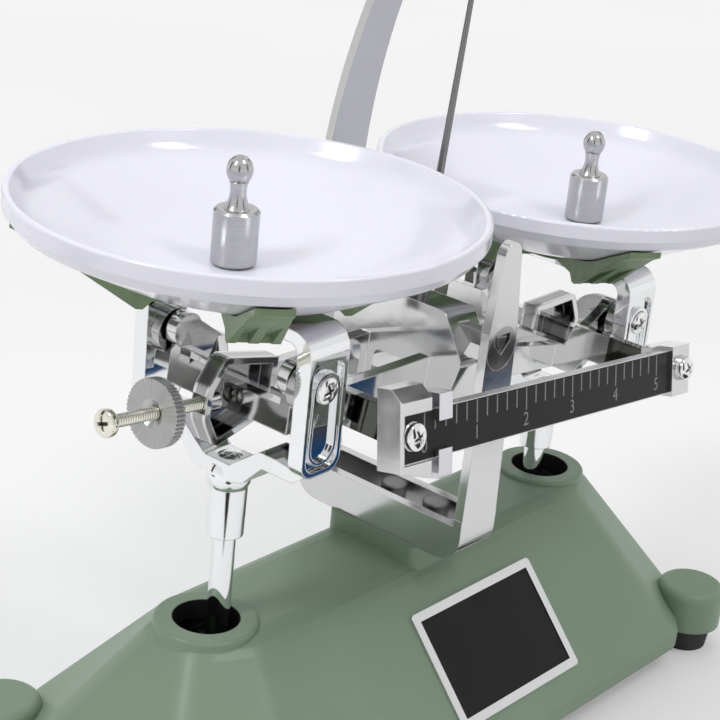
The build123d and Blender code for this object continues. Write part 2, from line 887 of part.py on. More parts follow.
def drop_outline(r, low_r):
    share = (r - low_r) / -drop_low
    up = (1 - share * share) ** 0.5
    high, low = (r * up, -r * share), (low_r * up, drop_low - low_r * share)
    right = Line(high, low)
    under = ThreePointArc(low, (0, drop_low - low_r), (-low[0], low[1]))
    left = Line((-low[0], low[1]), (-high[0], high[1]))
    over = ThreePointArc((-high[0], high[1]), (0, r), high)
    return make_face(right + under + left + over)


def yoke(side):
    shape = yoke_frame() + saddle() + Pos(0, 0, boss_z) * Sphere(boss_r)
    out = yoke_in + yoke_skin
    wide, tall = 2 * (yoke_half_x - panel_inset), yoke_top - yoke_low - yoke_corner - 2 * panel_inset
    panel = Pos(0, yoke_low + panel_inset + tall / 2) * Rectangle(wide, tall)
    panel = fillet(panel.vertices(), 3)
    ring = drop_outline(drop_r, drop_low_r) - drop_outline(drop_r - drop_rim, drop_low_r - drop_rim)
    shape -= slab_xz(panel - ring, -out - 1, -out + panel_depth)
    shape -= slab_xz(panel, out - panel_depth, out + 1)
    shape += Pos(0, 0, (boss_z + socket_low) / 2) * Cone(socket_low_r, socket_top_r, boss_z - socket_low)
    shape -= rod_z(rod_r, socket_low - 1, saddle_low)
    for y in (-out, yoke_in):
        shape -= rod_y(yoke_screw_shaft, y - 1, y + yoke_skin + 1)
    bore = rod_y(bearing_r, yoke_in - 1, out - bearing_wall, 0, -bearing_shift)
    return on_carrier(shape - bore - mirror_y(bore), side)


def yoke_bearings(side):
    out = yoke_in + yoke_skin - bearing_wall
    disc = rod_y(bearing_r, bearing_in, out, 0, -bearing_shift)
    disc -= slab_xz(notch(gap, False), bearing_in - 1, out + 1)
    return on_carrier(Compound([disc, mirror_y(disc)]), side)


def yoke_screws(side):
    face = yoke_in + yoke_skin - panel_depth
    head = rod_y(yoke_screw_r, face, face + yoke_screw_h)
    head = fillet(head.edges().group_by(Axis.Y)[-1], 0.9)
    head += rod_y(yoke_screw_shaft, face - 0.3, face)
    return on_carrier(Compound([head, mirror_y(head)]), side)


def carrier_rod(side):
    shape = rod_z(rod_r, -link_drop - rod_over, saddle_low)
    shape = chamfer(shape.edges().group_by(Axis.Z)[0], 0.6)
    return on_carrier(shape - rod_y(rod_pin_r, -rod_r - 1, rod_r + 1, 0, -link_drop), side)


def rod_pin(side):
    reach = link_half_y + fork_t + 0.8
    return on_carrier(rod_y(rod_pin_r, -reach, reach, 0, -link_drop), side)


# Lower link and its hanger inside the base

def lower_link():
    end = arm - fork_len
    shape = box(-end, end, -link_half_y, link_half_y, -link_half_z, link_half_z)
    inner = rod_r + fork_gap
    for side in (-1, 1):
        near, far = side * (end - 3), side * arm
        tine = box(min(near, far), max(near, far), inner, inner + fork_t, -link_half_z, link_half_z)
        tine += rod_y(fork_r, inner, inner + fork_t, far)
        tine -= rod_y(rod_pin_r + pin_fit, inner - 1, inner + fork_t + 1, far)
        shape += tine + mirror_y(tine)
    half = hanger_y - gap
    shape += rod_y(link_hub_r, -half, half)
    shape -= rod_y(link_pin_r + hub_fit, -half - 1, half + 1)
    return on_link(shape)


def link_hanger():
    top = base_top - roof - pillar_drop
    out = hanger_y + hanger_t
    shape = box(-hanger_x, hanger_x, -out, out, top - hanger_t, top)
    leg = box(-hanger_x, hanger_x, hanger_y, out, link_z, top) + rod_y(hanger_x, hanger_y, out, 0, link_z)
    shape += leg + mirror_y(leg)
    shape -= rod_y(link_pin_r, -out - 1, out + 1, 0, link_z)
    for y in (-bracket_screw_y, bracket_screw_y):
        shape -= rod_z(bracket_screw_r, top - hanger_t - 1, top + 1, 0, y)
    return shape


def link_pin():
    out = hanger_y + hanger_t
    shape = rod_y(link_pin_r, -out, out, 0, link_z)
    return shape + rod_y(link_pin_r + 1, out, out + 1, 0, link_z) + rod_y(link_pin_r + 1, -out - 1, -out, 0, link_z)


# Pan, its four-armed support, and the weight

def pan_under(extra):
    low, r = -pan_depth - extra, pan_r + extra
    return [(0, low), (pan_floor_r, low), (r - pan_edge, -pan_edge_z - extra), (r, -pan_lip), (r, 0)]


def bent(face, radius, bend):
    return fillet([v for v in face.vertices() if abs(v.X - radius) < 0.01 and v.Y < -pan_lip], bend)


def pan():
    inner_r = pan_r - pan_lip_in
    floor = pan_t - pan_depth
    pts = pan_under(0) + [(pan_r - pan_lip_t, 0), (inner_r, -pan_lip - 1), (pan_floor_r - 0.5, floor), (0, floor)]
    face = Polygon(*pts, align=None)
    face = bent(face, pan_floor_r, pan_bend_r)
    face = bent(face, pan_floor_r - 0.5, pan_bend_r - pan_t)
    face = bent(face, inner_r, pan_lip_bend)
    face = bent(face, pan_r - pan_edge, pan_edge_bend)
    rim = [v for v in face.vertices() if abs(v.Y) < 0.01 and v.X > 1]
    face = fillet(rim, lip_r)
    return Pos(0, 0, pan_rim_z) * revolve(Plane.XZ * face, Axis.Z)


def pan_clearance():
    face = Polygon(*pan_under(gap), (0, 0), align=None)
    face = bent(face, pan_floor_r, pan_bend_r)
    return Pos(0, 0, pan_rim_z) * revolve(Plane.XZ * face, Axis.Z)


def under_pan(r):
    run = pan_r - pan_edge - pan_floor_r
    return pan_rim_z - pan_depth - gap + (pan_depth - pan_edge_z) * (r - pan_floor_r) / run


def support_arm():
    seat, step = yoke_top, support_step_r
    high = pan_rim_z - pan_lip
    shoulder = under_pan(support_shoulder_r) - support_shoulder_t
    pts = [(0, seat), (step - 2, seat), (step, seat - support_drop), (support_rise_r, seat - support_drop),
           (support_shoulder_r, shoulder), (support_tip, under_pan(support_tip) - support_tip_t),
           (support_tip, high), (0, high)]
    arm_form = slab_xz(Polygon(*pts, align=None), -support_w / 2, support_w / 2)
    half, tip = support_w / 2, support_tip_w / 2
    plan = Polygon((0, -half), (step, -half), (support_tip, -tip), (support_tip, tip), (step, half), (0, half),
                   align=None)
    arm_form &= slab_xy(plan, seat - 10, high + 1)
    deep = support_groove_t
    groove = [(step + 1, seat - 9), (support_tip + 1, seat - 9), (support_tip + 1, shoulder),
              (support_shoulder_r, shoulder - deep / 2), (support_rise_r, seat - support_drop + deep),
              (step + 1, seat - support_drop + deep)]
    pitch = (support_rib + support_groove) / 2
    for y in (-pitch, pitch):
        arm_form -= slab_xz(Polygon(*groove, align=None), y - support_groove / 2, y + support_groove / 2)
    return arm_form


def pan_support(side):
    seat = yoke_top
    shape = rod_z(support_hub_r, seat, pan_rim_z - pan_depth + 3)
    one = support_arm()
    first = 45 + support_turns[0 if side < 0 else 1]
    for k in range(4):
        shape += Rot(0, 0, first + 90 * k) * one
    shape -= pan_clearance()
    shape -= rod_z(support_screw_r, seat - 1, seat + 9)
    shape -= rod_z(support_head_r + screw_fit, pan_rim_z - pan_depth - gap - support_head_h, pan_rim_z)
    return on_carrier(shape, side)


def support_screw(side):
    top = pan_rim_z - pan_depth - gap
    shape = rod_z(support_head_r, top - support_head_h, top) + rod_z(support_screw_r, yoke_top, top - support_head_h)
    return on_carrier(shape, side)


def weight(side):
    neck = weight_body + weight_neck
    centre = neck + weight_knob_h / 2 - 0.3
    body = rod_z(weight_r, 0, weight_body)
    body = chamfer(body.edges(), weight_bevel)
    waist = Spline((weight_foot_r, weight_body), (weight_neck_r, weight_body + weight_neck * 0.6),
                   (weight_neck_r + 0.35, neck + 0.6))
    face = make_face(waist + Line(waist @ 1, (0, neck + 0.6)) + Line((0, neck + 0.6), (0, weight_body))
                     + Line((0, weight_body), waist @ 0))
    shape = body + revolve(Plane.XZ * face, Axis.Z)
    knob = Pos(0, 0, centre) * scale(Sphere(1), by=(weight_knob_r, weight_knob_r, weight_knob_h / 2))
    floor = pan_rim_z - pan_depth + pan_t + slide_gap
    x, y = weight_spots[0 if side < 0 else 1]
    return Pos(-side * x, y, floor) * (shape + knob)


os.makedirs("parts", exist_ok=True)
save("base_casting", base_casting())
save("base_cover", base_cover())
save("cover_screws", cover_screws())
save("rubber_feet", rubber_feet())
save("foot_screws", foot_screws())
save("nameplate", nameplate())
save("centre_bracket", centre_bracket())
save("bracket_screws", bracket_screws())
save("centre_bearings", centre_bearings())
save("stop_pins", stop_pins())
save("dial_post", dial_post())
save("post_screws", post_screws())
save("dial_plate", dial_plate())
save("dial_screws", dial_screws())
save("link_hanger", link_hanger())
save("link_pin", link_pin())
save("lower_link", lower_link())
save("beam_casting", beam_casting())
save("centre_knife", on_beam(centre_knife()))
save("end_knives", on_beam(Compound(end_knives())))
save("pointer", pointer())
save("scale_bar", scale_bar())
save("bar_screws", bar_screws())
save("rider", rider())
save("bar_holder_left", bar_holder_left())
save("bar_holder_right", bar_holder_right())
for side, name in ((-1, "left"), (1, "right")):
    save("adjust_screw_" + name, adjust_screw(side))
    save("balance_nut_" + name, balance_nut(side))
    save("yoke_" + name, yoke(side))
    save("yoke_bearings_" + name, yoke_bearings(side))
    save("yoke_screws_" + name, yoke_screws(side))
    save("carrier_rod_" + name, carrier_rod(side))
    save("rod_pin_" + name, rod_pin(side))
    save("pan_support_" + name, pan_support(side))
    save("support_screw_" + name, support_screw(side))
    save("pan_" + name, on_carrier(pan(), side))
    save("weight_" + name, on_carrier(weight(side), side))
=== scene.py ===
# %% [markdown]
# # A laboratory balance, dressed for its picture
# The solids of this balance come from the CAD model, and every number below is in metres
# in the same frame: X runs along the beam, Z is up, and the table top is Z = 0.
# This file gives the solids their finishes and adds what is too fine for the CAD model,
# such as graduations and numbers, cross-head screws, washers and screw threads.

# %% Load the fixed frame
import json
from math import atan2, cos, pi, radians, sin

import bmesh
import bpy
from mathutils import Matrix, Vector

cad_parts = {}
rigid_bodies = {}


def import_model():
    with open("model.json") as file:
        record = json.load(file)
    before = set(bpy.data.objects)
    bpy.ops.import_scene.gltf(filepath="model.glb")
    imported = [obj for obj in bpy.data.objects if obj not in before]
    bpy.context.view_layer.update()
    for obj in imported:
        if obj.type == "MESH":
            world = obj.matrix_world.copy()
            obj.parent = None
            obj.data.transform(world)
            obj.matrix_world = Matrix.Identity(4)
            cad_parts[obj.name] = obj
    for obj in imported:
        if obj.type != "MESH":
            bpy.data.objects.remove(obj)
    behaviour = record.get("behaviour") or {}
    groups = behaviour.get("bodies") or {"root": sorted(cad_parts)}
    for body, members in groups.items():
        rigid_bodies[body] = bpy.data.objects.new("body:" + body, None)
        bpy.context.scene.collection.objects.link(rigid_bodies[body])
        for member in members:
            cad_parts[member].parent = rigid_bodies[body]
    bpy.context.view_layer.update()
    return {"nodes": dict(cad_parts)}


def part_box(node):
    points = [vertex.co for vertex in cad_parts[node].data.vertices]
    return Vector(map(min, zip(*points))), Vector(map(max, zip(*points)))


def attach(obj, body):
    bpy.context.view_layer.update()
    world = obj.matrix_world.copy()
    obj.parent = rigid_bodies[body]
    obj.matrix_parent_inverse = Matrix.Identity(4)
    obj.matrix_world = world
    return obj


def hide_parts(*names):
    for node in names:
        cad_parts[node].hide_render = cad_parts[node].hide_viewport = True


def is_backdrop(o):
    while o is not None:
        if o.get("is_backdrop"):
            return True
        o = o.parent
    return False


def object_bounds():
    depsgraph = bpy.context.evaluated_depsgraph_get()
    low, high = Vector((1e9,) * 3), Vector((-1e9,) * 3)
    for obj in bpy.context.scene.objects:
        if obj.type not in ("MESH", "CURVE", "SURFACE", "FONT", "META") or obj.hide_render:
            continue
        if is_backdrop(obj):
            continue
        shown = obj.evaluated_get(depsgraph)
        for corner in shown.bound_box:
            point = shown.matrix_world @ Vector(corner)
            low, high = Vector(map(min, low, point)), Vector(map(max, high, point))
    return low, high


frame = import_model()
nodes = frame["nodes"]
mm = 0.001

# %% [markdown]
# ## The camera
# The balance was photographed from its left front corner, a little above, with a long lens.
# A camera is described by where it stands, which way it looks and how far it leans.
# Yaw, pitch and roll are turned into three unit vectors, which fill a rotation matrix.

# %% Stand the camera
pivot = Vector((0, 0, 0.108))
camera_place = pivot + Vector((-0.3501, -0.2639, 0.1649))
yaw, pitch, roll = radians(51.41), radians(21.99), radians(5.89)


def camera_turn(yaw, pitch, roll):
    ahead = Vector((sin(yaw) * cos(pitch), cos(yaw) * cos(pitch), -sin(pitch)))
    level = Vector((cos(yaw), -sin(yaw), 0))
    up = level.cross(ahead)
    right = cos(roll) * level + sin(roll) * up
    return Matrix((right, right.cross(ahead), -ahead)).transposed()


camera_data = bpy.data.cameras.new("studio_camera")
camera_data.lens = 95.0
camera_data.sensor_width = 36.0
camera_data.clip_start = 0.01
camera_data.clip_end = 20
camera = bpy.data.objects.new("studio_camera", camera_data)
bpy.context.scene.collection.objects.link(camera)
camera.matrix_world = Matrix.Translation(camera_place) @ camera_turn(yaw, pitch, roll).to_4x4()
bpy.context.scene.camera = camera
bpy.context.scene.view_settings.view_transform = "Standard"
print("camera at", [round(v, 3) for v in camera_place])

# %% [markdown]
# ## The floor and the backdrop
# The balance stands on a pale table that runs into a pale wall. One round sheet makes both:
# it is flat in the middle and bends upwards far out, so no edge shows. The small functions
# before it make a circle of points, a fan of faces round a point and a band between two
# circles. The screw heads and the washers further down are made with them too.

# %% Make the floor sheet


def link_new(name, mesh):
    made = bpy.data.objects.new(name, mesh)
    bpy.context.scene.collection.objects.link(made)
    return made


def circle(sides):
    return [(cos(2 * pi * k / sides), sin(2 * pi * k / sides)) for k in range(sides)]


def fan(bm, point, loop):
    for one, after in zip(loop, loop[1:] + loop[:1]):
        bm.faces.new((point, one, after))


def bridge(bm, loops):
    for upper, lower in zip(loops, loops[1:]):
        for k in range(len(upper)):
            after = (k + 1) % len(upper)
            bm.faces.new((upper[k], lower[k], lower[after], upper[after]))


def finished(bm, name, smooth):
    bmesh.ops.recalc_face_normals(bm, faces=bm.faces)
    mesh = bpy.data.meshes.new(name)
    bm.to_mesh(mesh)
    bm.free()
    for face in mesh.polygons:
        face.use_smooth = smooth
    return mesh


def floor_sheet(sides=64):
    rows = [(1.5, 0.0), (1.9, 0.05), (2.2, 0.22), (2.35, 0.6)]
    bm = bmesh.new()
    centre = bm.verts.new((0, 0, 0))
    loops = [[bm.verts.new((r * x, r * y, z)) for x, y in circle(sides)] for r, z in rows]
    fan(bm, centre, loops[0])
    bridge(bm, loops)
    return link_new("pale_table", finished(bm, "pale_table", smooth=True))


table = floor_sheet()
table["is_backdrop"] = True
print("floor sheet", len(table.data.vertices), "points")

# %% [markdown]
# ## Graphs of nodes
# A material is a small graph of nodes. Graph adds a node and joins its sockets. Finish is a
# graph for one material, with the parts that most finishes need: a noise, a colour ramp, a
# bump, and small sums that say how far a point is from an axis or a plane.

# %% Helpers for materials


class Graph:
    def __init__(self, tree):
        self.tree = tree

    def add(self, kind, inputs=(), **settings):
        node = self.tree.nodes.new(kind)
        for key, value in settings.items():
            setattr(node, key, value)
        for key, value in dict(inputs).items():
            if isinstance(value, bpy.types.NodeSocket):
                self.tree.links.new(value, node.inputs[key])
            else:
                node.inputs[key].default_value = value
        return node

    def math(self, kind, a, b=0.0):
        return self.add("ShaderNodeMath", {0: a, 1: b}, operation=kind).outputs[0]


class Finish(Graph):
    def __init__(self, name, **values):
        self.material = bpy.data.materials.new(name)
        self.material.use_nodes = True
        super().__init__(self.material.node_tree)
        self.shader = self.tree.nodes["Principled BSDF"]
        self.coords = self.add("ShaderNodeTexCoord").outputs["Object"]
        for key, value in values.items():
            self.shader.inputs[key.replace("_", " ")].default_value = value

    def join(self, source, key):
        self.tree.links.new(source, self.shader.inputs[key])

    def local(self, place):
        shift, turn = place.to_translation(), place.to_euler()
        inputs = {"Vector": self.coords, "Location": shift, "Rotation": turn}
        return self.add("ShaderNodeMapping", inputs, vector_type="TEXTURE").outputs["Vector"]

    def parts(self, vector):
        return self.add("ShaderNodeSeparateXYZ", {0: vector}).outputs

    def beyond(self, value, border):
        return self.math("GREATER_THAN", self.math("ABSOLUTE", value), border)

    def away(self, x, y):
        squares = self.math("MULTIPLY", x, x), self.math("MULTIPLY", y, y)
        return self.math("SQRT", self.math("ADD", *squares))

    def mix(self, share, a, b):
        node = self.add("ShaderNodeMix", {0: share}, data_type="RGBA")
        for socket, value in zip(node.inputs[6:8], (a, b)):
            if isinstance(value, bpy.types.NodeSocket):
                self.tree.links.new(value, socket)
            else:
                socket.default_value = (*value, 1)
        return node.outputs[2]

    def noise(self, scale, detail=3.0, vector=None, rough=0.5):
        inputs = {"Vector": vector or self.coords, "Scale": scale, "Detail": detail, "Roughness": rough}
        return self.add("ShaderNodeTexNoise", inputs).outputs["Fac"]

    def ramp(self, source, low, high, start=0.3, end=0.7):
        node = self.add("ShaderNodeValToRGB", {"Fac": source})
        stops = ((start, low), (end, high))
        for element, (position, colour) in zip(node.color_ramp.elements, stops):
            element.position = position
            element.color = (*colour, 1)
        return node.outputs["Color"]

    def spread(self, source, low, high, start=0.25, end=0.75):
        inputs = {0: source, 1: start, 2: end, 3: low, 4: high}
        return self.add("ShaderNodeMapRange", inputs).outputs[0]

    def bump(self, height, strength, distance, normal=None):
        inputs = {"Height": height, "Strength": strength, "Distance": distance}
        if normal is not None:
            inputs["Normal"] = normal
        return self.add("ShaderNodeBump", inputs).outputs["Normal"]

    def soft_edge(self, radius):
        return self.add("ShaderNodeBevel", {"Radius": radius}, samples=4).outputs["Normal"]


def grey(v):
    return (v, v, v)


print("finish helpers ready")

# %% [markdown]
# ## A pale floor and a pale room
# A floor that is only lit goes grey far from the lamps. So it also glows, more so further
# out, and only for rays from the camera, a mirror or glass. The diffuse part underneath still
# takes the soft shadow of the balance. The room does the same: it is brighter where it is
# seen than where it lights. A Light Path node tells the two kinds of ray apart.

# %% Paint the floor and the world
near_glow, far_glow = 0.17, 0.5
glow_start, glow_end = 0.35, 1.7
room_colour = (0.94, 0.945, 0.955, 1)
room_light, room_seen = 0.54, 0.91


def seen_rays(graph):
    rays = graph.add("ShaderNodeLightPath").outputs
    seen = graph.math("MAXIMUM", rays["Is Camera Ray"], rays["Is Glossy Ray"])
    return graph.math("MAXIMUM", seen, rays["Is Transmission Ray"])


def floor_paint():
    finish = Finish("pale_table", Roughness=0.9, Specular_IOR_Level=0.0)
    cloud = finish.noise(6.0, 2.0)
    finish.join(finish.ramp(cloud, grey(0.78), grey(0.80)), "Base Color")
    finish.join(finish.ramp(cloud, grey(0.98), grey(1.0)), "Emission Color")
    far = finish.add("ShaderNodeVectorMath", {0: finish.coords}, operation="LENGTH").outputs["Value"]
    glow = finish.spread(far, near_glow, far_glow, glow_start, glow_end)
    finish.join(finish.math("MULTIPLY", seen_rays(finish), glow), "Emission Strength")
    return finish.material


table.data.materials.append(floor_paint())
world = bpy.data.worlds.new("studio")
world.use_nodes = True
bpy.context.scene.world = world
sky = Graph(world.node_tree)
background = sky.tree.nodes["Background"]
background.inputs["Color"].default_value = room_colour
strength = sky.add("ShaderNodeMapRange", {0: seen_rays(sky), 3: room_light, 4: room_seen})
sky.tree.links.new(strength.outputs[0], background.inputs["Strength"])
print("floor and world painted")

# %% [markdown]
# ## The light
# The room has a broad pale ceiling and two windows. Area lamps do the same: their size sets
# how soft the shadow edge is, and a glossy pan shows each window as a small bright shape. The
# ceiling lamp is kept out of mirror rays, so that the pans stay plain between the windows.
# Every lamp points at the middle of the balance.

# %% Hang the lamps


def aimed(made, place, target=(0, 0, 0.1)):
    made.location = place
    made.rotation_euler = (Vector(target) - Vector(place)).to_track_quat("-Z", "Y").to_euler()
    return made


def lamp(name, place, width, height, power, colour=(1, 1, 1), mirrored=True):
    data = bpy.data.lights.new(name, "AREA")
    data.shape = "RECTANGLE"
    data.size, data.size_y = width, height
    data.energy, data.color = power, colour
    made = bpy.data.objects.new(name, data)
    bpy.context.scene.collection.objects.link(made)
    made.visible_glossy = mirrored
    return aimed(made, place)


cool, warm = (0.97, 0.98, 1.0), (1.0, 0.99, 0.97)
lamp("ceiling", (0.15, 0.35, 1.6), width=1.2, height=1.0, power=4.5, mirrored=False)
lamp("window_left", (-0.95, 0.2, 1.1), width=0.30, height=0.45, power=6.0, colour=cool)
lamp("window_front", (0.12, -0.68, 1.24), width=0.24, height=0.42, power=3.5, colour=warm)
print("lamps", len(bpy.data.lights))

# %% [markdown]
# ## Dark cards for the chrome
# Polished metal shows only what stands round it. A photographer puts dark cards beside a
# chrome piece, so that it gets dark bands next to bright ones. These cards are seen by
# mirror rays alone: the camera looks through them, and they take no light off the balance.
# Five stand round the table and one hangs higher. Three more lie flat on the table, where
# the upright faces look: one that turns from dark to blue for the panels of the yokes, one
# that draws a dark streak down the socket, and one for the outer faces of the beam.

# %% Stand the cards


def card(name, place, width, height, near, far, border=(0.3, 0.7), target=(0, 0, 0.1)):
    w, h = width / 2, height / 2
    mesh = bpy.data.meshes.new(name)
    mesh.from_pydata([(-w, -h, 0), (w, -h, 0), (w, h, 0), (-w, h, 0)], [], [(0, 3, 2, 1)])
    made = aimed(link_new(name, mesh), place, target)
    black = (0, 0, 0, 1)
    finish = Finish(name, Base_Color=black, Roughness=1.0, Specular_IOR_Level=0.0, Emission_Strength=1.0)
    along = finish.spread(finish.parts(finish.coords)["Y"], 0.0, 1.0, -h, h)
    finish.join(finish.ramp(along, near, far, *border), "Emission Color")
    mesh.materials.append(finish.material)
    made.visible_camera = made.visible_shadow = made.visible_diffuse = False
    made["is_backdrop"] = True
    return made


card_reach, card_wide, card_tall = 1.25, 0.26, 1.0
for number, turn in enumerate((18, 78, 133, 217, 292)):
    a = radians(turn)
    spot = (card_reach * cos(a), card_reach * sin(a), card_tall / 2)
    card("dark_card_%d" % number, spot, card_wide, card_tall, grey(0.03), grey(0.12))
card("dark_card_high", (card_reach, -0.09, 0.91), card_wide, 0.3, grey(0.03), grey(0.08))


def flat_card(name, x, y, *rest):
    return card(name, (x, y, 0.004), *rest, target=(x, y, -1))


flat_card("blue_card", 0.15, -0.243, 0.17, 0.2, grey(0.05), (0.012, 0.05, 0.13), (0.86, 0.92))
flat_card("streak_card", -0.183, -0.112, 0.08, 0.06, grey(0.02), grey(0.04))
flat_card("left_card", -0.42, 0.24, 0.2, 0.14, (0.05, 0.055, 0.045), (0.075, 0.08, 0.07))

# %% [markdown]
# ## Sage green enamel
# The base is an iron casting with a thick, slightly wavy coat of grey-green enamel. The
# colour drifts a little, and a fine bump breaks the highlight as sprayed paint does. A thin
# clear coat gives the soft sheen on its shoulders. The walls of the two rod holes are bare
# iron, coloured near black as painted shade deep in the holes: a small sum picks every point
# nearer to a hole's axis than its radius.

# %% Paint the casting


def dress(material, *names):
    for name in names:
        nodes[name].data.materials.clear()
        nodes[name].data.materials.append(material)


hole_x, hole_wall = 66.6 * mm, 8.03 * mm
light_sage, dark_sage, bare_iron_hole_shade = (0.215, 0.303, 0.208), (0.190, 0.270, 0.183), grey(0.01)


def sage_enamel():
    finish = Finish("sage_enamel", Coat_Weight=0.12, Coat_Roughness=0.22)
    drift = finish.noise(18, 4)
    spot = finish.parts(finish.coords)
    from_hole = finish.math("SUBTRACT", finish.math("ABSOLUTE", spot["X"]), hole_x)
    in_hole = finish.math("LESS_THAN", finish.away(from_hole, spot["Y"]), hole_wall)
    # the rod-hole walls are bare iron coloured near black: painted shade deep in the holes
    finish.join(finish.mix(in_hole, finish.ramp(drift, dark_sage, light_sage), bare_iron_hole_shade), "Base Color")
    finish.join(finish.spread(drift, 0.38, 0.5), "Roughness")
    skin = finish.bump(finish.noise(900, 3), 0.08, 0.4 * mm, finish.soft_edge(0.6 * mm))
    finish.join(finish.bump(finish.noise(70, 2), 0.12, 0.8 * mm, skin), "Normal")
    return finish.material


dress(sage_enamel(), "base_casting")
print("casting painted")

# %% [markdown]
# ## Bright metals
# Chrome is a metal with almost no roughness, so it is drawn by what it reflects. Nickel and
# brushed steel are the same shader with a darker colour and more roughness. A little noise
# in the roughness keeps each from looking like a perfect mirror. The pressed screw heads also
# read an attribute of their mesh, "cross", and are coloured dark in the cross: painted shade
# in the recess.

# %% Mix the metals


# painted shade: the recessed cross of each screw head is darkened in its colour
def dirty_cross(finish, colour):
    recess = finish.add("ShaderNodeAttribute", attribute_name="cross").outputs["Fac"]
    return finish.mix(recess, colour, grey(0.05))


def metal(name, tone, rough, scale, wave, edge=0.25 * mm, tint=(1, 1, 1), over=None):
    finish = Finish(name, Metallic=1.0)
    smear = finish.noise(scale, 4)
    dull, bright = [tuple(tone * share * c for c in tint) for share in (0.95, 1.0)]
    colour = finish.ramp(smear, dull, bright)
    finish.join(over(finish, colour) if over else colour, "Base Color")
    finish.join(finish.spread(smear, *rough), "Roughness")
    ripple = finish.noise(scale * 2.2, 2)
    finish.join(finish.bump(ripple, wave, 0.4 * mm, finish.soft_edge(edge)), "Normal")
    return finish.material


bluish, yellowish, lilac = (0.98, 0.99, 1.0), (1.0, 0.97, 0.86), (0.96, 0.95, 1.0)
chrome = metal("mirror_chrome", 0.88, (0.02, 0.06), 60, 0.02, 0.4 * mm, bluish)
nickel = metal("bright_nickel", 0.70, (0.10, 0.20), 90, 0.02)
dark_nickel = metal("dark_nickel", 0.52, (0.10, 0.18), 90, 0.02)
steel = metal("turned_steel", 0.50, (0.14, 0.24), 160, 0.02, 0.3 * mm)
dark_steel = metal("dark_steel", 0.22, (0.2, 0.3), 220, 0.02)
zinc = metal("zinc_plate", 0.62, (0.25, 0.36), 160, 0.04)
lavender = metal("rider_chrome", 0.78, (0.16, 0.26), 120, 0.03, 0.3 * mm, lilac)
screw_steel = metal("screw_steel", 0.80, (0.06, 0.14), 160, 0.03, 0.2 * mm, yellowish)
chrome_head = metal("chrome_head", 0.84, (0.03, 0.08), 60, 0.02, over=dirty_cross)
zinc_head = metal("zinc_head", 0.62, (0.25, 0.36), 160, 0.04, over=dirty_cross)
steel_head = metal("screw_steel_head", 0.80, (0.06, 0.14), 160, 0.03, 0.2 * mm, yellowish, dirty_cross)
dress(chrome, "yoke_left", "yoke_right", "carrier_rod_left", "carrier_rod_right")
dress(nickel, "centre_bracket", "bar_holder_left", "bar_holder_right")
dress(dark_nickel, "dial_post")
dress(lavender, "rider")
dress(steel, "centre_bearings", "centre_knife", "end_knives", "stop_pins", "link_pin",
      "rod_pin_left", "rod_pin_right", "yoke_bearings_left", "yoke_bearings_right", "lower_link")
dress(zinc, "base_cover", "bracket_screws", "link_hanger", "support_screw_left", "support_screw_right")
dress(dark_steel, "pointer")
print("metals on", sum(len(n.data.materials) > 0 for n in nodes.values()), "nodes")

# %% [markdown]
# The beam is one casting with three skins. Its ribs and rims are polished, the flat web
# inside each nose is left duller and darker, its dark grey also a painted dark reflection,
# and the arms that carry the scale bar are nearly black.
# Two small sums on the place of the point choose between them.

# %% Paint the beam
arm_start, web_half, web_start = 26.5 * mm, 1.5 * mm, 50 * mm
# the web's dark grey is duller metal and also a painted dark reflection
dull_web_and_dark_reflection, arm_tone = grey(0.36), (0.10, 0.105, 0.09)


def beam_skins(finish, colour):
    spot = finish.parts(finish.coords)
    on_middle = finish.math("LESS_THAN", finish.math("ABSOLUTE", spot["Y"]), web_half)
    on_web = finish.math("MULTIPLY", on_middle, finish.beyond(spot["X"], web_start))
    on_arm = finish.beyond(spot["Y"], arm_start)
    return finish.mix(on_arm, finish.mix(on_web, colour, dull_web_and_dark_reflection), arm_tone)


beam_nickel = metal("beam_nickel", 0.70, (0.05, 0.12), 90, 0.02, 0.4 * mm, over=beam_skins)
dress(beam_nickel, "beam_casting")
print("beam painted")

# %% [markdown]
# ## Turned faces
# A lathe leaves fine rings round its axis, and a brushed disc shows rays that run out from
# the middle. Both patterns need coordinates that start at the piece's own axis, so a Mapping
# node of the kind TEXTURE takes them there, and a noise then reads only the distance or the
# angle. The knob of a weight is polished, so from a given height up the roughness drops.

# %% Mix the turned finishes
tilt = radians(6.0)
beam_frame = Matrix.Translation(pivot) @ Matrix.Rotation(tilt, 4, "Y")
adjust_z = -10.6 * mm


def groove_rings(finish, spot):
    across = {"X": finish.away(spot["X"], spot["Y"]), "Y": spot["Z"]}
    return finish.noise(6000, 2, finish.add("ShaderNodeCombineXYZ", across).outputs[0])


def brushed_rays(finish, spot):
    angle = finish.math("ARCTAN2", spot["Y"], spot["X"])
    around = {"X": finish.math("SINE", angle), "Y": finish.math("COSINE", angle)}
    return finish.noise(14, 6, finish.add("ShaderNodeCombineXYZ", around).outputs[0], 0.7)


def turned(name, place, tone, rough, pattern, knob=None):
    finish = Finish(name, Metallic=1.0)
    spot = finish.parts(finish.local(place))
    marks = pattern(finish, spot)
    finish.join(finish.ramp(marks, grey(tone * 0.78), grey(tone)), "Base Color")
    roughness = finish.spread(marks, *rough)
    if knob:
        on_knob = finish.math("GREATER_THAN", spot["Z"], knob)
        finer = finish.math("SUBTRACT", 1.0, finish.math("MULTIPLY", on_knob, 0.75))
        roughness = finish.math("MULTIPLY", roughness, finer)
    finish.join(roughness, "Roughness")
    finish.join(finish.bump(marks, 0.12, 0.2 * mm, finish.soft_edge(0.2 * mm)), "Normal")
    return finish.material


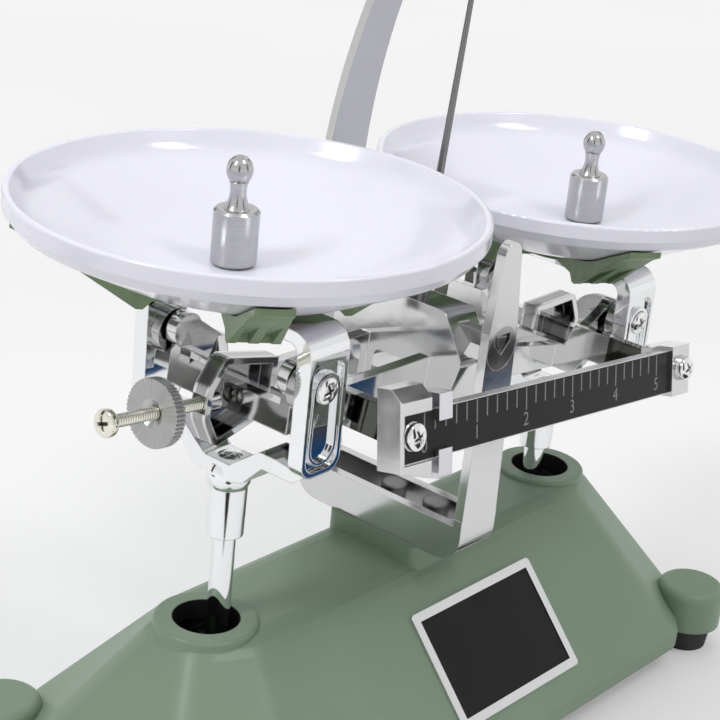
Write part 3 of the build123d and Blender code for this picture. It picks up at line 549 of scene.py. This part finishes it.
turn_x = Matrix.Rotation(pi / 2, 4, "Y")
nut_place = beam_frame @ Matrix.Translation((0, 0, adjust_z)) @ turn_x
nut_face = turned("brushed_nut", nut_place, 0.58, (0.24, 0.36), brushed_rays)
dress(nut_face, "balance_nut_left", "balance_nut_right")
for side in ("left", "right"):
    low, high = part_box("weight_" + side)
    foot = Matrix.Translation(((low[0] + high[0]) / 2, (low[1] + high[1]) / 2, low[2]))
    skin = turned("turned_weight_" + side, foot, 0.56, (0.14, 0.24), groove_rings, knob=14 * mm)
    dress(skin, "weight_" + side)
print("turned finishes ready")

# %% [markdown]
# ## White pans, green supports, rubber feet and the dial
# The pans are glossy white plastic with a faint cool tint, and light sinks in a little before
# it comes back. The supports are matt green plastic, the feet are black rubber, and the dial
# is a plate in white enamel. All four are a cloudy colour over a plain shader.

# %% Mix the plastics


def plastic(finish, cloud, dark, light, normal=None, end=0.7):
    finish.join(finish.ramp(cloud, dark, light, 0.3, end), "Base Color")
    if normal is not None:
        finish.join(normal, "Normal")
    return finish.material


porcelain = Finish("white_pan", Roughness=0.16, Coat_Weight=0.3, Coat_Roughness=0.04,
                   Subsurface_Weight=0.1, Subsurface_Scale=3 * mm)
cloud = porcelain.noise(30, 3)
ripple = porcelain.bump(porcelain.noise(45, 2), 0.02, 0.5 * mm, porcelain.soft_edge(0.3 * mm))
dress(plastic(porcelain, cloud, (0.80, 0.80, 0.885), (0.82, 0.82, 0.905), ripple), "pan_left", "pan_right")

moulded = Finish("green_plastic", Roughness=0.42)
cloud = moulded.noise(300, 4)
grain = moulded.bump(moulded.noise(1400, 2), 0.1, 0.3 * mm, moulded.soft_edge(0.3 * mm))
dress(plastic(moulded, cloud, (0.155, 0.225, 0.118), (0.195, 0.275, 0.15), grain),
      "pan_support_left", "pan_support_right")

rubber = Finish("black_rubber", Roughness=0.8)
grain = rubber.bump(rubber.noise(1800, 2), 0.2, 0.3 * mm)
dress(plastic(rubber, rubber.noise(150, 5), grey(0.02), grey(0.045), grain, 0.8), "rubber_feet")

dial_white = Finish("white_enamel", Roughness=0.4)
cloud = dial_white.noise(60, 3)
dress(plastic(dial_white, cloud, (0.78, 0.78, 0.76), (0.83, 0.83, 0.81)), "dial_plate")
print("plastics ready")

# %% [markdown]
# ## Two finishes on one solid
# The scale bar is black with bright ground edges above and below, and the nameplate is a
# black field inside a silver rim. Each is one solid, so the border between its two finishes
# is worked out from the place of the point in the piece's own frame.

# %% Paint the scale bar and the nameplate
bar_shift, bar_lean = (0, -41.9 * mm, -7.0 * mm), radians(-12)
bar_frame = beam_frame @ Matrix.Translation(bar_shift) @ Matrix.Rotation(bar_lean, 4, "X")
black_half = 5.32 * mm
field_half_x, field_half_y = 22.1 * mm, 13.15 * mm


def two_finishes(name, share_of, field, metal_tone):
    finish = Finish(name, Specular_IOR_Level=0.18)
    film = finish.noise(90, 3)
    dark = finish.ramp(film, grey(field * 0.7), grey(field))
    share = share_of(finish)
    finish.join(finish.mix(share, dark, grey(metal_tone)), "Base Color")
    finish.join(share, "Metallic")
    finish.join(finish.spread(film, 0.26, 0.36), "Roughness")
    finish.join(finish.bump(finish.noise(400, 2), 0.02, 0.3 * mm, finish.soft_edge(0.2 * mm)), "Normal")
    return finish.material


def bar_edge(finish):
    spot = finish.parts(finish.local(bar_frame))
    return finish.beyond(spot["Z"], black_half)


def plate_rim(finish):
    low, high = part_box("nameplate")
    slope = atan2(high[2] - low[2], high[1] - low[1])
    middle = Matrix.Translation((low + high) / 2) @ Matrix.Rotation(slope, 4, "X")
    spot = finish.parts(finish.local(middle))
    over_x, over_y = finish.beyond(spot["X"], field_half_x), finish.beyond(spot["Y"], field_half_y)
    return finish.math("MAXIMUM", over_x, over_y)


dress(two_finishes("black_bar", bar_edge, 0.012, 0.75), "scale_bar")
dress(two_finishes("silver_rimmed_plate", plate_rim, 0.010, 0.72), "nameplate")
print("bare nodes", [n for n, o in nodes.items() if not o.data.materials])

# %% [markdown]
# ## Geometry Nodes from a script
# A tree of geometry nodes suits whatever repeats. This small class is a Graph with named
# inputs. It runs its nodes on a seed object and keeps the result as a plain mesh, because
# plain mesh is what the rest of the file needs.

# %% Helpers for geometry trees


class Tree(Graph):
    def __init__(self, name, **sizes):
        super().__init__(bpy.data.node_groups.new(name, "GeometryNodeTree"))
        self.sizes, self.ids = sizes, {}
        self.new_socket("Geometry", "NodeSocketGeometry", "OUTPUT")
        self.new_socket("Geometry", "NodeSocketGeometry")
        for key, value in sizes.items():
            kind = "NodeSocketInt" if isinstance(value, int) else "NodeSocketFloat"
            self.ids[key] = self.new_socket(key, kind).identifier
        self.given = self.add("NodeGroupInput").outputs
        self.result = self.add("NodeGroupOutput")

    def new_socket(self, key, kind, way="INPUT"):
        return self.tree.interface.new_socket(key, in_out=way, socket_type=kind)

    def stored(self, key):
        inputs = {"Name": key}
        return self.add("GeometryNodeInputNamedAttribute", inputs, data_type="FLOAT_VECTOR").outputs[0]

    def point(self, x=0.0, y=0.0, z=0.0):
        return self.add("ShaderNodeCombineXYZ", {"X": x, "Y": y, "Z": z}).outputs[0]

    def close(self, geometry, material):
        real = self.add("GeometryNodeRealizeInstances", {"Geometry": geometry})
        painted = self.add("GeometryNodeSetMaterial", {"Geometry": real.outputs[0], "Material": material})
        self.tree.links.new(painted.outputs[0], self.result.inputs[0])

    def grow(self, name, start=None, place=Matrix.Identity(4)):
        holder = link_new(name + "_seed", start or bpy.data.meshes.new(name + "_seed"))
        modifier = holder.modifiers.new("grow", "NODES")
        modifier.node_group = self.tree
        for key, value in self.sizes.items():
            modifier[self.ids[key]] = value
        holder.update_tag()
        bpy.context.view_layer.update()
        graph = bpy.context.evaluated_depsgraph_get()
        mesh = bpy.data.meshes.new_from_object(holder.evaluated_get(graph))
        bpy.data.objects.remove(holder)
        mesh.name = name
        mesh.transform(place)
        print(name, len(mesh.polygons), "faces")
        return link_new(name, mesh)


print("geometry tree helpers ready")

# %% [markdown]
# ## Ink
# Strokes and numbers are a thin layer of paint. The white ink of the black bar has worn to a
# dull grey, and the black ink of the white dial is still dark. A fine noise makes both uneven.

# %% Mix the ink


def ink(name, dark, light, end):
    finish = Finish(name, Roughness=0.5)
    finish.join(finish.ramp(finish.noise(2500, 3), dark, light, 0.3, end), "Base Color")
    return finish.material


white_ink = ink("white_ink", grey(0.18), grey(0.26), end=0.6)
black_ink = ink("black_ink", grey(0.02), grey(0.05), end=0.7)
print("inks ready")

# %% [markdown]
# ## Graduations that follow a rule
# The scale bar has 26 pale strokes, one for each 0.2 g, with a longer one at each gram. They
# hang from the top edge of the bar: a line of points, one small block on each, and a longer
# block where the point's index divides by five.

# %% Print the strokes of the scale bar
scale_start, scale_step = -48.6 * mm, 3.84 * mm
bar_face, stroke_top = -1.5 * mm, 5.1 * mm
ink_thick, block_tall = 0.06 * mm, 1.0 * mm


def stroke_parts(tree, index, every):
    whole = tree.math("LESS_THAN", tree.math("MODULO", index, every), 0.5)
    choice = {0: whole, 1: tree.given["short"], 2: tree.given["long"]}
    height = tree.add("GeometryNodeSwitch", choice, input_type="FLOAT").outputs[0]
    size = tree.point(tree.given["width"], ink_thick, block_tall)
    block = tree.add("GeometryNodeMeshCube", {"Size": size}).outputs["Mesh"]
    scale = tree.point(1.0, 1.0, tree.math("DIVIDE", height, block_tall))
    return height, block, scale


def bar_strokes():
    sizes = {"width": 0.45 * mm, "short": 4.2 * mm, "long": 5.2 * mm}
    tree = Tree("scale_strokes", count=26, start=scale_start, step=scale_step, **sizes)
    start, step = tree.point(x=tree.given["start"]), tree.point(x=tree.given["step"])
    line = {"Count": tree.given["count"], "Start Location": start, "Offset": step}
    line = tree.add("GeometryNodeMeshLine", line).outputs["Mesh"]
    index = tree.add("GeometryNodeInputIndex").outputs[0]
    height, block, scale = stroke_parts(tree, index, 5.0)
    drop = tree.point(z=tree.math("MULTIPLY", height, -0.5))
    hung = tree.add("GeometryNodeSetPosition", {"Geometry": line, "Offset": drop}).outputs[0]
    row = {"Points": hung, "Instance": block, "Scale": scale}
    tree.close(tree.add("GeometryNodeInstanceOnPoints", row).outputs[0], white_ink)
    return tree.grow("scale_strokes", place=bar_frame @ Matrix.Translation((0, bar_face, stroke_top)))


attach(bar_strokes(), "beam")
print("strokes printed")

# %% [markdown]
# The dial has the same strokes in an arc, with a longer one at every fourth. All its points
# lie in the middle of the circle. Each block is lifted on to its radius and turned a little
# further than the one before.

# %% Print the arc of the dial
dial_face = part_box("dial_plate")[0][1]


def dial_strokes():
    sizes = {"width": 0.28 * mm, "short": 2.6 * mm, "long": 4.6 * mm, "radius": 117 * mm}
    tree = Tree("dial_strokes", count=33, step=radians(0.5), **sizes)
    count, radius = tree.given["count"], tree.given["radius"]
    spots = tree.add("GeometryNodeMeshLine", {"Count": count, "Offset": tree.point()}).outputs["Mesh"]
    index = tree.add("GeometryNodeInputIndex").outputs[0]
    height, block, scale = stroke_parts(tree, index, 4.0)
    middle = tree.math("MULTIPLY", tree.math("SUBTRACT", count, 1.0), 0.5)
    turn = tree.math("MULTIPLY", tree.math("SUBTRACT", index, middle), tree.given["step"])
    raised = {"Geometry": block, "Translation": (0, 0, block_tall / 2)}
    raised = tree.add("GeometryNodeTransform", raised).outputs[0]
    hand = tree.add("FunctionNodeEulerToRotation", {0: tree.point(y=turn)}).outputs[0]
    row = {"Points": spots, "Instance": raised, "Scale": scale, "Rotation": hand}
    row = tree.add("GeometryNodeInstanceOnPoints", row).outputs[0]
    out_x, out_z = [tree.math("MULTIPLY", tree.math(kind, turn), radius) for kind in ("SINE", "COSINE")]
    moved = {"Instances": row, "Translation": tree.point(out_x, 0.0, out_z), "Local Space": False}
    tree.close(tree.add("GeometryNodeTranslateInstances", moved).outputs[0], black_ink)
    return tree.grow("dial_strokes", place=Matrix.Translation((0, dial_face, pivot.z)))


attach(dial_strokes(), "base")
print("dial printed")

# %% [markdown]
# The numbers are text objects turned to mesh. Text is a curve at first, so it is made a mesh
# before it is placed, and the digits are joined into one piece.

# %% Print the numbers of the scale bar
front_turn = Matrix.Rotation(pi / 2, 4, "X")
digit_size, digit_middle = 4.6 * mm, -2.4 * mm


def text_mesh(words, size, place):
    curve = bpy.data.curves.new("digit", "FONT")
    curve.body = words
    curve.size = size
    curve.align_x = curve.align_y = "CENTER"
    curve.extrude = ink_thick / 2
    curve.resolution_u = 3
    holder = link_new("digit", curve)
    bpy.context.view_layer.update()
    graph = bpy.context.evaluated_depsgraph_get()
    mesh = bpy.data.meshes.new_from_object(holder.evaluated_get(graph))
    bpy.data.objects.remove(holder)
    mesh.transform(place)
    return mesh


def join_meshes(name, meshes, material):
    bm = bmesh.new()
    for mesh in meshes:
        bm.from_mesh(mesh)
    joined = bpy.data.meshes.new(name)
    bm.to_mesh(joined)
    bm.free()
    joined.materials.clear()
    joined.materials.append(material)
    for mesh in meshes:
        bpy.data.meshes.remove(mesh)
    return link_new(name, joined)


digits = []
for number in range(6):
    spot = (scale_start + 5 * number * scale_step, bar_face, digit_middle)
    place = bar_frame @ Matrix.Translation(spot) @ front_turn
    digits.append(text_mesh(str(number), digit_size, place))
numbers = join_meshes("scale_numbers", digits, white_ink)
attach(numbers, "beam")
print("numbers printed", len(numbers.data.vertices))

# %% [markdown]
# ## Cross-head screws
# A pressed screw head is a flat dome with a cross pushed into it. The head here is one grid
# of rings round an axis, of radius one and height one, and a rule lowers each point that lies
# inside the cross. The same rule fills the attribute "cross", which the metal reads.

# %% Shape one cross head
cross_long, cross_half, cross_deep, cross_wall = 0.56, 0.13, 0.52, 0.06
dome_foot = 0.62
dome_rings = (0.04, 0.09, 0.13, 0.17, 0.22, 0.28, 0.34, 0.4, 0.46,
              0.5, 0.54, 0.58, 0.64, 0.72, 0.8, 0.87, 0.93)
wall_rings = [(0.97, 0.66), (1.0, 0.55), (1.0, 0.04), (0.98, 0.0)]


def cross_drop(x, y):
    near, far = min(abs(x), abs(y)), max(abs(x), abs(y))
    inside = max(near - cross_half * (1.15 - 0.4 * far), far - cross_long)
    share = min(1.0, max(0.0, -inside / cross_wall))
    return cross_deep * (1.0 - 0.5 * far) * share * share * (3 - 2 * share)


def head_mesh(name, sides=72):
    dome = [(r, dome_foot + (1 - dome_foot) * cos(r * pi / 2) ** 0.7) for r in dome_rings]
    bm = bmesh.new()
    depth = bm.verts.layers.float.new("cross")
    loops = []
    for r, z in dome + wall_rings:
        spots = [(r * x, r * y) for x, y in circle(sides)]
        loops.append([bm.verts.new((x, y, z - cross_drop(x, y))) for x, y in spots])
        for vert, (x, y) in zip(loops[-1], spots):
            vert[depth] = min(1.0, 1.3 * cross_drop(x, y) / cross_deep)
    top = bm.verts.new((0, 0, 1 - cross_drop(0, 0)))
    bottom = bm.verts.new((0, 0, 0))
    top[depth] = 1.0
    fan(bm, top, loops[0])
    bridge(bm, loops)
    fan(bm, bottom, loops[-1][::-1])
    return finished(bm, name, smooth=True)


head_model = link_new("cross_head_model", head_mesh("cross_head_model"))
print("head faces", len(head_model.data.polygons))

# %% [markdown]
# Geometry Nodes put a copy of the head on every screw's place. Two attributes of each point
# say which way the head faces and how wide and tall it is. A place is written as a frame, a
# point in it and the way out of the metal, and a head as its radius and height in mm.

# %% Put a head on every screw


def heads(name, places, head, material):
    radius, height = head
    seed = bpy.data.meshes.new(name + "_seed")
    seed.from_pydata([tuple(spot) for spot, aim in places], [], [])
    aims = seed.attributes.new("aim", "FLOAT_VECTOR", "POINT")
    sizes = seed.attributes.new("size", "FLOAT_VECTOR", "POINT")
    for k, (spot, aim) in enumerate(places):
        aims.data[k].vector = aim
        sizes.data[k].vector = (radius * mm, radius * mm, height * mm)
    tree = Tree(name, turn=0.35)
    model = tree.add("GeometryNodeObjectInfo", {"Object": head_model}).outputs["Geometry"]
    facing = tree.add("FunctionNodeAlignRotationToVector", {"Vector": tree.stored("aim")}, axis="Z")
    spun = tree.add("FunctionNodeEulerToRotation", {0: tree.point(z=tree.given["turn"])})
    both = {0: facing.outputs[0], 1: spun.outputs[0]}
    hand = tree.add("FunctionNodeRotateRotation", both, rotation_space="LOCAL").outputs[0]
    dots = tree.add("GeometryNodeMeshToPoints", {"Mesh": tree.given["Geometry"]}).outputs[0]
    row = {"Points": dots, "Instance": model, "Rotation": hand, "Scale": tree.stored("size")}
    tree.close(tree.add("GeometryNodeInstanceOnPoints", row).outputs[0], material)
    return tree.grow(name, seed)


def spot_on(place, point, aim):
    return place @ Vector(point), (place.to_3x3() @ Vector(aim)).normalized()


def fit_heads(name, body, slot, material, places, head, *replaced):
    piece = heads(name, [spot_on(*place) for place in places], head, material)
    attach(piece, body)
    if replaced:
        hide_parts(*replaced)
    return piece


arm, yoke_face = 63 * mm, 25.6 * mm
for side, sign in (("left", -1), ("right", 1)):
    end = Matrix.Translation(beam_frame @ Vector((sign * arm, 0, 0)))
    spots = [(end, (0, y * yoke_face, 0), (0, y, 0)) for y in (-1, 1)]
    fit_heads("yoke_heads_" + side, "carrier_" + side, "chrome_screw", chrome_head, spots,
              (3.1, 2.1), "yoke_screws_" + side)


def zinc_heads(name, points, aim, head, replaced):
    spots = [(Matrix.Identity(4), Vector(point) * mm, aim) for point in points]
    fit_heads(name, "base", "zinc_screw", zinc_head, spots, head, replaced)


down, back, front = (0, 0, -1), (0, 1, 0), (0, -1, 0)
pivot_z, dial_y = pivot.z / mm, dial_face / mm
corners = [(x, y) for x in (-1, 1) for y in (-1, 1)]
zinc_heads("cover_heads", [(42 * x, 33 * y, 7) for x, y in corners], down, (2.9, 1.7), "cover_screws")
zinc_heads("foot_heads", [(93 * x, 40 * y, 3.5) for x, y in corners], down, (3.4, 1.7), "foot_screws")
zinc_heads("post_heads", [(0, 29.2, pivot_z + z) for z in (-6.5, -18.5)], back, (2.9, 1.7), "post_screws")
dial_points = [(x, dial_y, pivot_z + 122.5) for x in (-2.4, 2.4)]
zinc_heads("dial_heads", dial_points, front, (1.9, 0.5), "dial_screws")

# %% [markdown]
# ## Turned pieces
# A washer is a profile spun round an axis. The profile is a list of radius and height, and
# the ring closes on itself. Each of the two screws of the scale bar stands on one.

# %% Put the bar's screws on their washers


def spin_ring(name, rows, place, sides=64):
    bm = bmesh.new()
    loops = [[bm.verts.new((r * x, r * y, z)) for x, y in circle(sides)] for r, z in rows]
    bridge(bm, loops + loops[:1])
    mesh = finished(bm, name, smooth=False)
    mesh.transform(place)
    return mesh


bolt_spots = ((-53.2 * mm, -1.5 * mm), (58.0 * mm, -2.5 * mm))
bolt_rise, washer_thick = 0.6 * mm, 0.6 * mm
washer_profile = ((1.5, 0), (3.3, 0), (3.3, 0.45), (3.15, 0.6), (1.5, 0.6))
washer_rows = [(r * mm, z * mm) for r, z in washer_profile]
washers = []
for x, face in bolt_spots:
    seat = bar_frame @ Matrix.Translation((x, face, bolt_rise)) @ front_turn
    washers.append(spin_ring("washer", washer_rows, seat))
washers = join_meshes("bar_washers", washers, nickel)
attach(washers, "beam")
spots = [(bar_frame, (x, face - washer_thick, bolt_rise), front) for x, face in bolt_spots]
bolts = fit_heads("bar_heads", "beam", "chrome_screw", chrome_head, spots, (3.1, 2.0))
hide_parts("bar_screws")
print("washers", len(washers.data.polygons), "faces")

# %% [markdown]
# ## Threaded adjusting screws
# The thread of each adjusting screw is a ridge that climbs once round the shaft for each
# 0.7 mm of length. A cylinder with many rings has all the points it takes: a geometry tree
# reads each point's angle and height, and pushes it outwards by a triangle wave of both.

# %% Cut the threads
thread_middle, head_seat = 84.1 * mm, 100 * mm


def thread(side, sign):
    sizes = {"length": 32 * mm, "core": 1.28 * mm, "ridge": 0.22 * mm, "pitch": 0.7 * mm}
    tree = Tree("thread_" + side, **sizes)
    length, core, ridge, pitch = [tree.given[key] for key in sizes]
    rod = {"Vertices": 32, "Side Segments": 280, "Radius": core, "Depth": length}
    rod = tree.add("GeometryNodeMeshCylinder", rod).outputs["Mesh"]
    here = tree.add("GeometryNodeInputPosition").outputs[0]
    spot = tree.add("ShaderNodeSeparateXYZ", {0: here}).outputs
    angle = tree.math("DIVIDE", tree.math("ARCTAN2", spot["Y"], spot["X"]), 2 * pi)
    climb = tree.math("FRACT", tree.math("ADD", tree.math("DIVIDE", spot["Z"], pitch), angle))
    wave = tree.math("MULTIPLY", tree.math("ABSOLUTE", tree.math("SUBTRACT", climb, 0.5)), 2.0)
    push = tree.math("DIVIDE", tree.math("MULTIPLY", wave, ridge), core)
    out = tree.point(tree.math("MULTIPLY", spot["X"], push), tree.math("MULTIPLY", spot["Y"], push), 0.0)
    cut = tree.add("GeometryNodeSetPosition", {"Geometry": rod, "Offset": out}).outputs[0]
    smooth = tree.add("GeometryNodeSetShadeSmooth", {"Geometry": cut}).outputs[0]
    tree.close(smooth, screw_steel)
    middle = Matrix.Translation((sign * thread_middle, 0, adjust_z)) @ turn_x
    return tree.grow("thread_" + side, place=beam_frame @ middle)


for side, sign in (("left", -1), ("right", 1)):
    rod = thread(side, sign)
    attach(rod, "beam")
    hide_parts("adjust_screw_" + side)
    spots = [(beam_frame, (sign * head_seat, 0, adjust_z), (sign, 0, 0))]
    fit_heads("adjust_head_" + side, "beam", "chrome_screw", steel_head, spots, (3.1, 2.2))
bpy.data.objects.remove(head_model)
print("threads cut")

# %% [markdown]
# ## The size
# The dressed balance has to be as large as its solids. The box round everything that renders
# is measured here and printed in mm.

# %% Measure the size
low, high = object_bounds()
print("visual size in mm", [round(1000 * v, 1) for v in high - low])
